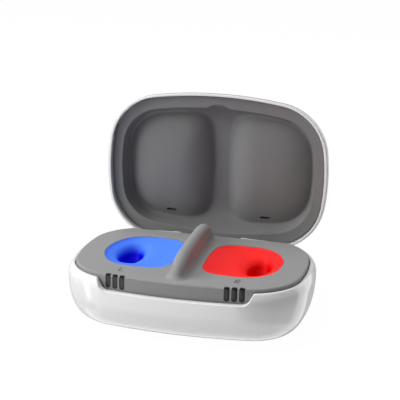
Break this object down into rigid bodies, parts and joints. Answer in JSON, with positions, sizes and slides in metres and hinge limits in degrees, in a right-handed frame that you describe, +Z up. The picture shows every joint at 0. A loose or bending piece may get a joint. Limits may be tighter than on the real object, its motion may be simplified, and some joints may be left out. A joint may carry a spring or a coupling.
{
  "type": "hearing aid charging case",
  "caption": "Rounded clamshell charging case for hearing aids, shown open, with coloured wells, a divider fin, light windows and a padded hinged lid.",
  "frame": {"origin": "centre of the foot pad's underside, where the case stands on a table", "axes": "+Z up, +X to the user's right along the case's width, +Y to the rear where the hinge is; the lid is open at rest"},
  "size_m": [0.106, 0.0955, 0.0909],
  "materials": {
    "white_gloss": "glossy moulded shell",
    "white_hinge": "glossy moulded hinge leaf",
    "grey_matte": "fine textured satin moulding",
    "blue_insert": "satin blue moulding",
    "red_insert": "satin red moulding",
    "pad_rubber": "soft matte rubber",
    "black_plastic": "moulded carrier",
    "board": "circuit board with solder mask",
    "chips": "moulded chip packages",
    "cell_foil": "foil pouch",
    "tape": "foam tape",
    "inlet_steel": "drawn steel shell",
    "steel": "plated steel",
    "magnet": "nickel plated",
    "copper": "wound enamelled wire",
    "ferrite": "pressed ferrite",
    "diode": "light diode package",
    "bush": "low friction bush",
    "window": "tinted light window"
  },
  "bodies": {
    "base": {"base_shell": "white_gloss", "deck": "grey_matte", "left_insert": "blue_insert", "right_insert": "red_insert", "foot_pad": "pad_rubber", "inner_frame": "black_plastic", "main_board": "board", "board_parts": "chips", "battery_cell": "cell_foil", "battery_tape": "tape", "usb_inlet": "inlet_steel", "hinge_pin": "steel", "case_screws": "steel", "frame_screws": "steel", "base_magnets": "magnet", "left_coil": "copper", "left_ferrite": "ferrite", "left_light_board": "board", "left_diodes": "diode", "left_light_1": "window", "left_light_2": "window", "left_light_3": "window", "right_coil": "copper", "right_ferrite": "ferrite", "right_light_board": "board", "right_diodes": "diode", "right_light_1": "window", "right_light_2": "window", "right_light_3": "window"},
    "lid": {"lid_shell": "white_gloss", "lid_liner": "grey_matte", "hinge_barrel": "white_hinge", "left_hinge_bush": "bush", "right_hinge_bush": "bush", "hinge_screws": "steel", "lid_magnets": "magnet"}
  },
  "joints": [
    {"name": "lid_hinge", "type": "hinge", "parent": "base", "child": "lid", "pos_m": [0, 0.0336, 0.0209], "axis": [1, 0, 0], "range_deg": [0, 90.7]}
  ]
}
